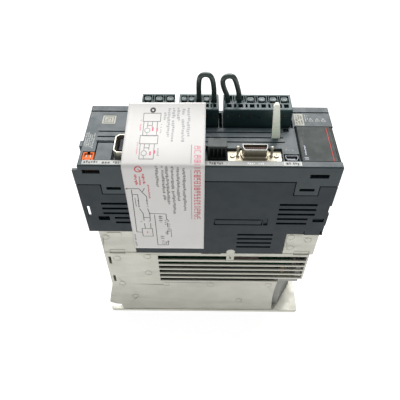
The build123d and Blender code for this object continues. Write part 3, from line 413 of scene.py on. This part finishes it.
def stamp(name, place, strips, look, body, slot, low=INK_LOW, high=INK_HIGH, step=2.0):
    """Thin raised bars: each strip runs from (a0, b0) to (a1, b1) with a width, in millimetres.

    place turns a, b and a height over the face into a point, and step is about how long a
    stretch of a strip stays straight where the face curves.
    """
    vertices = []
    faces = []
    for a0, b0, a1, b1, width in strips:
        length = math.hypot(a1 - a0, b1 - b0)
        side_a = -(b1 - b0) / length * width / 2
        side_b = (a1 - a0) / length * width / 2
        count = max(1, round(length / step))
        start = len(vertices)
        for i in range(count + 1):
            a = a0 + (a1 - a0) * i / count
            b = b0 + (b1 - b0) * i / count
            vertices += [place(a - side_a, b - side_b, low), place(a + side_a, b + side_b, low),
                         place(a + side_a, b + side_b, high), place(a - side_a, b - side_b, high)]
        for i in range(count):
            near = start + 4 * i
            far = near + 4
            for j in range(4):
                k = (j + 1) % 4
                faces.append((near + j, near + k, far + k, far + j))
        faces.append((start + 3, start + 2, start + 1, start))
        faces.append(tuple(start + 4 * count + j for j in range(4)))
    piece = mesh_piece(name, vertices, faces, look, body)
    cleaned = bmesh.new()
    cleaned.from_mesh(piece.data)
    bmesh.ops.recalc_face_normals(cleaned, faces=cleaned.faces)
    cleaned.to_mesh(piece.data)
    cleaned.free()
    return piece


def patch(a0, a1, b0, b1):
    """A filled rectangle as one strip."""
    return (a0, (b0 + b1) / 2, a1, (b0 + b1) / 2, b1 - b0)


def outline(a0, a1, b0, b1, width):
    """The border of a rectangle."""
    half = width / 2
    return [(a0 - half, b0, a1 + half, b0, width), (a0 - half, b1, a1 + half, b1, width),
            (a0, b0 + half, a0, b1 - half, width), (a1, b0 + half, a1, b1 - half, width)]


def ring(a, b, radius, width, count):
    """A circle of short strips."""
    turns = [math.tau * i / count for i in range(count + 1)]
    points = [(a + radius * math.cos(turn), b + radius * math.sin(turn)) for turn in turns]
    return [(*p, *q, width) for p, q in zip(points, points[1:])]


def greek(rng, line, start, end, size, density=0.85, across=False, least=0.35):
    """A row of small meaningless blocks, like unreadable small print.

    The row lies at a = line and runs along b from start to end, or with across at b = line
    along a. Blocks are up to size high and at least the share least of it, and density is
    the share of the places that hold one.
    """
    strips = []
    at = start
    while at < end - ROW_END_GAP * size:
        length = size * rng.uniform(*BLOCK_LENGTH)
        if rng.random() < density:
            middle = line + rng.uniform(-BLOCK_SHIFT, BLOCK_SHIFT) * size
            width = size * rng.uniform(least, BLOCK_WIDEST)
            if across:
                strips.append((at, middle, at + length, middle, width))
            else:
                strips.append((middle, at, middle, at + length, width))
        at += length + size * BLOCK_GAP
    return strips


# ---- leaflet: shape -------------------------------------------------------------------------
PAPER_X = span("caution_leaflet", 0)
PAPER_FOOT = (-30.5, span("caution_leaflet", 2)[0])    # y, z of the sheet's lower edge
PAPER_T = 0.22
PAPER_FOLD_Z = 182.8
PAPER_BULGE = 0.6              # how far the sheet stands out just below its fold
PAPER_FOLD = ((-0.57, 183.6), (-0.42, 184.4), (-0.1, 185.2), (0.4, 185.95))    # from the foot's y, and z
PAPER_CURVE = ((-29.3, 186.5), (-16.9, 193.1), (-0.7, 196.1), (9.4, 202.6))    # y, z over the front
PAPER_FREE_FROM = 88.0         # how far along the sheet it leaves the drive
PAPER_LOOSE_RUN = 15.0         # and how much further until it ripples freely
PAPER_LEAN_RUN = 41.0          # and until it leans fully
LEAN_X = (2.4, 0.4)            # how far the left-hand and right-hand corners lean in x
LEAN_OUT = (0.4, 1.5)          # and how far they lift
RIPPLE = 0.05                  # height of the ripples where the sheet is pressed on the drive
LOOSE_RIPPLE = 0.16            # and of the further ripples where it is free
PAPER_COLUMNS = 28


def leaflet_line():
    """(y, z) points in millimetres up the side, round the fold and across the front."""
    y, foot = PAPER_FOOT
    count = 60
    points = []
    for i in range(count + 1):
        points.append((y - PAPER_BULGE * (i / count) ** 3, foot + (PAPER_FOLD_Z - foot) * i / count))
    points += [(y + shift, z) for shift, z in PAPER_FOLD]
    steps = 40
    for i in range(steps + 1):
        t = i / steps
        weights = ((1 - t) ** 3, 3 * t * (1 - t) ** 2, 3 * t * t * (1 - t), t ** 3)
        points.append(tuple(sum(weight * place[axis] for weight, place in zip(weights, PAPER_CURVE))
                            for axis in (0, 1)))
    return points


def distances(points):
    """How far along a line of points each of them lies."""
    along = [0.0]
    for (y0, z0), (y1, z1) in zip(points, points[1:]):
        along.append(along[-1] + math.hypot(y1 - y0, z1 - z0))
    return along


PAPER_LINE = leaflet_line()
PAPER_REACH = distances(PAPER_LINE)


def ramp(value, start, run):
    """0 before start, 1 after start + run, and straight between them."""
    return min(max((value - start) / run, 0.0), 1.0)


def on_paper(x, s, lift):
    """A point on the leaflet: x across it and s along it, in millimetres."""
    s = min(max(s, 0.0), PAPER_REACH[-1])
    i = next(k for k in range(1, len(PAPER_REACH)) if PAPER_REACH[k] >= s - 1e-9)
    t = (s - PAPER_REACH[i - 1]) / (PAPER_REACH[i] - PAPER_REACH[i - 1])
    (y0, z0), (y1, z1) = PAPER_LINE[i - 1], PAPER_LINE[i]
    run = math.hypot(y1 - y0, z1 - z0)
    ripple = RIPPLE * math.sin(x / 7.0 + 0.6) * math.cos(s / 13.0)
    loose = ramp(s, PAPER_FREE_FROM, PAPER_LOOSE_RUN)
    ripple += loose * LOOSE_RIPPLE * math.sin(x / 11.0 + 1.0) * math.cos(s / 17.0)
    lean = ramp(s, PAPER_FREE_FROM, PAPER_LEAN_RUN)
    share = (x - PAPER_X[0]) / (PAPER_X[1] - PAPER_X[0])
    x += lean * (LEAN_X[0] + (LEAN_X[1] - LEAN_X[0]) * share)
    out = lift + ripple + lean * (LEAN_OUT[0] + (LEAN_OUT[1] - LEAN_OUT[0]) * share)
    y = y0 + (y1 - y0) * t - (z1 - z0) / run * out
    z = z0 + (z1 - z0) * t + (y1 - y0) / run * out
    return Vector((x, y, z)) * MM


def make_leaflet():
    """The sheet itself: a fine grid with a small thickness."""
    x0, x1 = PAPER_X
    vertices = [on_paper(x0 + (x1 - x0) * i / PAPER_COLUMNS, s, 0.0)
                for s in PAPER_REACH for i in range(PAPER_COLUMNS + 1)]
    wide = PAPER_COLUMNS + 1
    faces = [(row * wide + i, row * wide + i + 1, (row + 1) * wide + i + 1, (row + 1) * wide + i)
             for row in range(len(PAPER_REACH) - 1) for i in range(PAPER_COLUMNS)]
    sheet = mesh_piece("leaflet", vertices, faces, "paper", "chassis", smooth=True)
    solid = sheet.modifiers.new("thickness", "SOLIDIFY")
    solid.thickness = PAPER_T * MM
    solid.offset = 0.0
    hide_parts("caution_leaflet")
    return sheet


# ---- leaflet: printing ------------------------------------------------------------------------
# Places on the sheet are x, and s along it from its lower edge, in millimetres.
LINE = 0.46                    # widths of drawn lines
FRAME_LINE = 0.42
THIN_LINE = 0.34
FINE_LINE = 0.26
HEADING_X = (-7.6, -4.0)
HEADING_PITCH = 3.0
HEADING_SIZE = 0.72 * HEADING_PITCH
SIDE_WIRES = (                 # both ends of each line of the diagram on the side part
    (-51.0, 65.9, -43.2, 66.0), (-48.2, 65.0, -49.3, 20.0), (-49.3, 20.0, -45.2, 19.6),
    (-47.9, 60.5, -44.6, 60.2), (-44.6, 60.2, -45.0, 48.0), (-43.2, 66.0, -41.6, 62.6),
    (-41.6, 62.6, -39.6, 66.6), (-41.6, 62.6, -39.0, 58.4), (-39.0, 58.4, -39.3, 50.0),
    (-44.8, 46.0, -42.9, 40.6), (-42.9, 40.6, -42.9, 33.0), (-42.9, 30.0, -42.8, 24.2),
    (-39.4, 46.0, -38.4, 40.8), (-38.4, 40.8, -38.6, 33.0), (-38.6, 30.0, -38.9, 24.2),
    (-38.4, 40.8, -27.3, 40.5), (-27.3, 40.5, -27.2, 35.0), (-35.2, 39.6, -35.2, 4.4),
    (-35.2, 4.4, -27.4, 4.4), (-27.4, 4.4, -27.4, 10.0), (-43.0, 36.5, -38.5, 36.3),
    (-27.2, 35.0, -25.6, 32.4), (-26.9, 30.5, -26.9, 26.0), (-27.3, 22.0, -27.3, 17.0))
# Middles of the diagram's short bars.
SIDE_MARKS = ((-31.6, 37.2), (-31.6, 35.4), (-31.4, 32.6), (-31.2, 30.8), (-29.8, 6.5), (-31.0, 10.0))
# Rows of small print: x and where the row starts, then where it ends and its size where these differ.
GREY_ROWS = ((-30.9, 68.0), (-27.2, 55.0), (-24.7, 50.8), (-21.2, 40.8), (-17.9, 53.0), (-14.1, 44.4))
GREY_END = 87.0                # at the fold
FAINT_ROWS = ((-27.6, 117.6, 122.9), (-25.2, 105.7, 126.2), (-22.0, 102.2, 126.2),
              (-18.8, 117.1, 126.2), (-15.6, 102.0, 126.3), (-12.2, 105.8, 126.3))
RED_ROWS = ((-44.4, 69.6, 80.2, 1.7), (-42.0, 69.6, 77.4, 1.3), (-39.4, 70.4, 80.4, 1.9),
            (-37.1, 56.5, 69.6, 1.2))
# Short coloured bars in the diagrams: both ends and the width.
PINK_SPOTS = ((-34.9, 109.6, -34.9, 112.4, 1.1), (-32.1, 109.4, -32.1, 111.6, 1.0),
              (-35.1, 92.8, -35.1, 95.4, 1.1), (-32.4, 94.0, -32.4, 96.2, 1.0),
              (-41.6, 18.6, -41.6, 20.8, 0.8))


def side_diagram():
    """A made-up wiring diagram on the leaflet's side part."""
    strips = [(*wire_ends, LINE) for wire_ends in SIDE_WIRES]
    strips += outline(-45.2, -37.9, 15.0, 24.0, FRAME_LINE)
    strips += ring(-51.2, 65.9, 0.5, 0.5, 8) + ring(-38.4, 40.8, 0.4, 0.4, 8)
    for s in (29.0, 26.4, 23.8, 21.2):
        strips += ring(-26.0, s, 0.8, FINE_LINE, 9)
    for x, s in SIDE_MARKS:
        strips.append((x - 0.9, s, x + 0.9, s, FINE_LINE))
    for s in (54.0, 48.0, 32.0):
        strips += ring(-44.9, s, 0.45, 0.2, 8) + ring(-39.2, s + 0.4, 0.45, 0.2, 8)
    strips += outline(-31.4, -28.8, 5.4, 8.4, 0.24)
    for s in (33.6, 31.4, 29.2, 20.0, 18.2, 8.0):
        strips += [(-28.6, s, -26.2, s + 0.5, THIN_LINE), (-28.4, s - 0.9, -28.4, s, 0.3)]
    for s in (37.6, 35.6, 33.2, 14.6, 12.4):
        strips += [(-32.6, s, -29.8, s, 0.4), (-32.4, s + 0.7, -30.6, s + 0.7, 0.3)]
    strips += [(-48.2, 65.0, -48.2, 58.2, 0.36), (-46.8, 57.0, -46.8, 48.0, THIN_LINE),
               (-24.6, 24.0, -24.6, 14.0, THIN_LINE)]
    return strips


def top_diagram(x, s):
    """A made-up wiring diagram of a box and its four wires, placed by its upper left corner."""
    box_foot = s - 5.8
    loop_foot = s - 16.0
    strips = outline(x, x + 11.2, box_foot, s, FRAME_LINE)
    for across, foot in ((0.6, -16.0), (3.2, -10.0), (6.2, -10.0), (9.4, -16.0)):
        strips.append((x + across, box_foot, x + across, s + foot, FRAME_LINE))
    strips += [(x + 0.6, loop_foot, x + 9.4, loop_foot, LINE), (x + 3.2, s - 8.6, x + 6.2, s - 8.6, 0.40)]
    strips += ring(x + 3.3, s - 12.2, 1.7, 0.32, 14)
    strips.append((x + 3.3, s - 13.9, x + 3.3, loop_foot, 0.3))
    return strips


def heading(rng, start, end, stroke):
    """A column of made-up glyphs along s, each a few crossed strokes."""
    x0, x1 = HEADING_X
    strips = []
    at = start
    while at < end:
        for share in (0.0, 0.5, 1.0):
            if rng.random() < 0.8:
                x = x0 + (x1 - x0) * share
                low = at + HEADING_SIZE * rng.choice((0.0, 0.0, 0.35))
                strips.append((x, low, x, at + HEADING_SIZE, stroke))
        for share in (0.12, 0.55, 0.95):
            if rng.random() < 0.7:
                s = at + HEADING_SIZE * share
                low = x0 + (x1 - x0) * rng.choice((0.0, 0.0, 0.45))
                strips.append((low, s, x1, s, stroke))
        at += HEADING_PITCH
    return strips


def print_leaflet():
    """Generic printing: rows of unreadable blocks, simple diagrams, a heading and two signs."""
    rng = random.Random(7)
    inks = {"faint": [], "grey": [], "black": [], "red": [], "pink": []}
    for x, low in GREY_ROWS:
        inks["grey"] += greek(rng, x, low, GREY_END, 2.0, 0.97, least=0.55)
    for x, low, high in FAINT_ROWS:
        inks["faint"] += greek(rng, x, low, high, 2.1, 0.97, least=0.55)
    inks["faint"] += greek(rng, -29.6, 108.0, 116.0, 1.5, 0.9) + greek(rng, -30.2, 92.5, 99.0, 1.6, 0.95)
    inks["grey"] += greek(rng, -51.0, 3.0, 17.8, 1.3)
    for x, low, high, size in RED_ROWS:
        inks["red"] += greek(rng, x, low, high, size, 1.0)
    inks["pink"] += greek(rng, -42.9, 110.0, 117.5, 0.9) + greek(rng, -43.4, 93.5, 102.0, 0.9)
    inks["pink"] += PINK_SPOTS
    inks["red"] += heading(rng, 35.0, 84.0, LINE)
    inks["pink"] += heading(rng, 85.0, 100.0, THIN_LINE)
    inks["red"] += ring(-42.1, 83.6, 2.1, 0.75, 20) + [(-43.4, 85.0, -40.8, 82.2, 0.65)]
    inks["black"] += ring(-35.8, 124.4, 1.35, 1.2, 16) + side_diagram()
    inks["grey"] += top_diagram(-41.6, 122.2) + top_diagram(-42.3, 106.4)
    inks["grey"].append((-9.7, 35.0, -9.7, 100.0, THIN_LINE))
    face = PAPER_T / 2
    return [stamp(f"leaflet_print_{ink}", on_paper, strips, f"ink_{ink}", "chassis", "paper",
                  face - 0.03, face + 0.03)
            for ink, strips in inks.items()]


leaflet = make_leaflet()
print_leaflet()


# ---- printing on the drive ------------------------------------------------------------------
PORT_NAMES = ((-75.8, -66.0), (-64.5, -58.5), (-57.5, -53.2), (1.6, 5.2), (6.4, 10.8), (48.8, 52.0),
              (53.0, 56.8))    # where dark port names start and end in x
STICKER = (-0.05, 0.06)        # lower and upper face of a sticker, from the face under it
STICKER_INK = (0.04, 0.08)


def print_port_label():
    """Pale patches, frames and rows of blocks on the strip along the front's right edge."""
    rng = random.Random(11)
    place = on_plane(LABEL_TOP)
    ink = (0.0, 0.06)
    row_y = -27.2
    pale = [patch(-76.6, -52.6, -28.7, -25.7)]
    pale += outline(0.6, 11.8, -28.7, -25.8, 0.35) + outline(13.4, 46.6, -28.7, -25.8, 0.3)
    pale += [patch(0.9, 11.5, -28.4, -26.1), patch(47.8, 57.8, -28.4, -26.0)]
    white = outline(47.6, 58.0, -28.6, -25.8, 0.4)
    white += greek(rng, row_y, 25.0, 35.5, 1.9, 0.95, across=True)
    dark = []
    for x0, x1 in PORT_NAMES:
        dark += greek(rng, row_y, x0, x1, 2.2, 1.0, across=True, least=0.6)
    stamp("label_patches", place, pale, "ink_pale", "chassis", "label_film")
    stamp("label_white_print", place, white, "ink_white", "chassis", "label_film", *ink)
    stamp("label_dark_print", place, dark, "ink_dark", "chassis", "label_film", *ink)


def triangle(x, y):
    """A plain triangle with one stroke in it, placed by the middle of its foot."""
    half = 1.5
    peak = y + 3.2
    return [(x - half, y, x + half, y, 0.3), (x - half, y, x, peak, 0.3), (x + half, y, x, peak, 0.3),
            (x, y + 0.8, x, y + 2.0, 0.3)]


def print_front():
    """Small print, a code sticker, a cream label and plain triangles on the front case."""
    rng = random.Random(5)
    place = on_plane(FRONT_Z)
    sticker = [patch(-70.2, -61.4, 10.1, 18.5)]
    stamp("code_sticker", place, sticker, "ink_cream", "chassis", "label_film", *STICKER)
    code = outline(-69.0, -62.6, 11.3, 17.3, 0.5)
    for y in (12.8, 14.3, 15.8):
        code += greek(rng, y, -68.2, -63.4, 1.3, 0.95, across=True)
    stamp("code_sticker_print", place, code, "ink_dark", "chassis", "label_film", *STICKER_INK)
    rating = [patch(59.0, 65.2, 9.8, 21.8)]
    stamp("rating_label", place, rating, "ink_cream", "chassis", "label_film", *STICKER)
    rows = []
    for x in (60.4, 62.1, 63.8):
        rows += greek(rng, x, 10.8, 20.8, 1.4, 0.9)
    stamp("rating_label_print", place, rows, "ink_dark", "chassis", "label_film", *STICKER_INK)
    pale = greek(rng, 66.6, 14.0, 21.0, 0.9, 0.9) + greek(rng, 68.0, 15.0, 20.0, 0.7, 0.7)
    for x in (70.0, 74.4, 78.4):
        pale += triangle(x, 14.2)
    for x in (-78.2, -76.9, -75.6, -74.3, -73.0):
        low = -15.5 + rng.uniform(0, 3)
        high = 2.2 - rng.uniform(0, 4)
        pale += greek(rng, x, low, high, 1.0, 0.9)
    pale += ring(50.2, -14.0, 0.25, 0.3, 8) + greek(rng, -14.6, 51.2, 56.4, 0.7, 0.6, across=True)
    stamp("front_print", place, pale, "ink_pale", "chassis", "label_film")


def print_display_cover():
    """A thin red line and a few rows of blocks on the smoky cover, which they ride on."""
    rng = random.Random(3)
    place = on_plane(FRONT_Z)
    in_groove = on_plane(FRONT_Z - 0.25)
    red = [(78.9, -24.2, 78.9, 8.2, 0.55)]
    stamp("cover_red_line", in_groove, red, "line_red", "display_cover", "smoky_cover", -0.05, 0.12)
    dark = greek(rng, 61.2, -12.0, 6.0, 1.2, 0.9) + greek(rng, 62.9, -4.0, 5.0, 0.9, 0.8)
    stamp("cover_dark_print", place, dark, "ink_dark", "display_cover", "smoky_cover")
    pale = greek(rng, 62.2, -19.0, -9.5, 1.1, 1.0)
    pale += [(60.9, -22.6, 63.4, -22.6, 0.5), (60.9, -21.2, 63.4, -21.2, 0.4)]
    stamp("cover_pale_print", place, pale, "ink_lavender", "display_cover", "smoky_cover")


print_port_label()
print_front()
print_display_cover()


# ---- small pieces in the sockets and plugs ------------------------------------------------------
GUIDE_Y = 23.5
GUIDE_TOP = PLUG_TOP - 0.5
GUIDE_HALF_X = 2.25            # or less, where the poles stand close
GUIDE_GAP = 0.9                # from a guide to the middle between two poles, at least
GUIDE_HALF_Y = 2.1
GUIDE_ROUNDNESS = 0.6          # 1 is an ellipse, and 0 a rectangle
GUIDE_SIDES = 20
GUIDE_RINGS = ((1.0, -1.9), (1.0, -0.35), (0.93, 0.0), (0.70, -0.05), (0.62, -0.3))
GUIDE_FLOOR = -0.4
TIP_COUNT = 11
TIP_PITCH = 1.22
TIP_Y = (-18.62, -17.38)
IO_X = 30.0                    # middle of the input/output connector
BATTERY_FLOOR_Z = 183.6


def guide(x, half_x):
    """A rounded wire guide with a hollow top, as vertices and faces in metres.

    Each of its rings is a share of the full width and a height from the guide's top.
    """
    vertices = []
    faces = []
    for scale, height in GUIDE_RINGS:
        for i in range(GUIDE_SIDES):
            angle = math.tau * i / GUIDE_SIDES
            cosine, sine = math.cos(angle), math.sin(angle)
            out_x = math.copysign(abs(cosine) ** GUIDE_ROUNDNESS, cosine) * half_x * scale
            out_y = math.copysign(abs(sine) ** GUIDE_ROUNDNESS, sine) * GUIDE_HALF_Y * scale
            vertices.append(Vector((x + out_x, GUIDE_Y + out_y, GUIDE_TOP + height)) * MM)
    vertices.append(Vector((x, GUIDE_Y, GUIDE_TOP + GUIDE_FLOOR)) * MM)
    last = (len(GUIDE_RINGS) - 1) * GUIDE_SIDES
    for lower in range(0, last, GUIDE_SIDES):
        upper = lower + GUIDE_SIDES
        for i in range(GUIDE_SIDES):
            j = (i + 1) % GUIDE_SIDES
            faces.append((lower + i, lower + j, upper + j, upper + i))
    middle = len(vertices) - 1
    faces += [(last + i, last + (i + 1) % GUIDE_SIDES, middle) for i in range(GUIDE_SIDES)]
    faces.append(tuple(range(GUIDE_SIDES - 1, -1, -1)))
    return vertices, faces


def make_guides():
    """The pale wire guides in the unused entries of each plug."""
    for name, plug in PLUGS.items():
        half_x = min(plug["pitch"] / 2 - GUIDE_GAP, GUIDE_HALF_X)
        vertices = []
        faces = []
        for pole in range(plug["poles"]):
            if pole not in plug["wired"]:
                more_vertices, more_faces = guide(plug["x"] + pole * plug["pitch"], half_x)
                faces += [tuple(i + len(vertices) for i in face) for face in more_faces]
                vertices += more_vertices
        mesh_piece(f"{name}_plug_guides", vertices, faces, "insert", f"{name}_plug",
                   smooth=True)


def make_contact_tips():
    """The bent-over tips of the contacts on the tongue of the input/output connector."""
    places = [IO_X + (i - TIP_COUNT // 2) * TIP_PITCH for i in range(TIP_COUNT)]
    strips = [(x, TIP_Y[0], x, TIP_Y[1], 0.5) for x in places]
    stamp("io_contact_tips", on_plane(IO_TONGUE_TOP), strips, "tip", "chassis", "gold_contact", -0.05, 0.12,
          step=1.3)


def make_battery_insert():
    """The light floor of the battery socket, with the two bent contacts."""
    place = on_plane(BATTERY_FLOOR_Z)
    floor = [patch(-76.6, -71.6, -22.2, -18.9)]
    stamp("battery_socket_floor", place, floor, "orange", "chassis", "orange_plastic", -2.0, 0.0)
    contacts = [(x, -21.9, x, -19.6, 0.7) for x in (-75.4, -72.8)]
    stamp("battery_socket_contacts", place, contacts, "ink_pale", "chassis", "white_plastic", -0.1, 0.5)


make_guides()
make_contact_tips()
make_battery_insert()


# ---- floor, world, light and view transform -----------------------------------------------------
FLOOR_HALF = 3.0
FLOOR_Z = -0.0002               # a little under the back face, so that the two don't flicker
DRIVE_MIDDLE = (0, 0, 0.15)


def area_light(name, place, width, depth, power):
    """A rectangular light that faces the drive; sizes are in metres and power in watts."""
    data = bpy.data.lights.new(name, "AREA")
    data.shape = "RECTANGLE"
    data.size = width
    data.size_y = depth
    data.energy = power
    lamp = bpy.data.objects.new(name, data)
    lamp.location = place
    lamp.rotation_mode = "QUATERNION"
    lamp.rotation_quaternion = (Vector(DRIVE_MIDDLE) - Vector(place)).to_track_quat("-Z", "Y")
    bpy.context.scene.collection.objects.link(lamp)


def make_floor():
    """A white floor that glows, as a lit studio table does."""
    mesh = bpy.data.meshes.new("floor")
    corners = [(-FLOOR_HALF, -FLOOR_HALF, FLOOR_Z), (FLOOR_HALF, -FLOOR_HALF, FLOOR_Z),
               (FLOOR_HALF, FLOOR_HALF, FLOOR_Z), (-FLOOR_HALF, FLOOR_HALF, FLOOR_Z)]
    mesh.from_pydata(corners, [], [(0, 1, 2, 3)])
    floor = bpy.data.objects.new("floor", mesh)
    material = bpy.data.materials.new("floor_white")
    material.use_nodes = True
    shader = material.node_tree.nodes["Principled BSDF"]
    shader.inputs["Base Color"].default_value = (0.30, 0.30, 0.30, 1)
    shader.inputs["Roughness"].default_value = 0.9
    shader.inputs["Emission Color"].default_value = (1, 1, 1, 1)
    shader.inputs["Emission Strength"].default_value = 0.87
    mesh.materials.append(material)
    bpy.context.scene.collection.objects.link(floor)


def make_world():
    """A dim, slightly cool surround."""
    world = bpy.data.worlds.new("studio")
    world.use_nodes = True
    background = world.node_tree.nodes["Background"]
    background.inputs["Color"].default_value = (0.97, 0.985, 1.0, 1)
    background.inputs["Strength"].default_value = 0.25
    bpy.context.scene.world = world


make_floor()
make_world()
area_light("overhead", (0.0, 0.25, 1.9), width=1.6, depth=1.2, power=14.0)
area_light("back", (0.0, 1.15, 1.45), width=2.4, depth=1.1, power=50.0)
bpy.context.scene.view_settings.view_transform = "Standard"
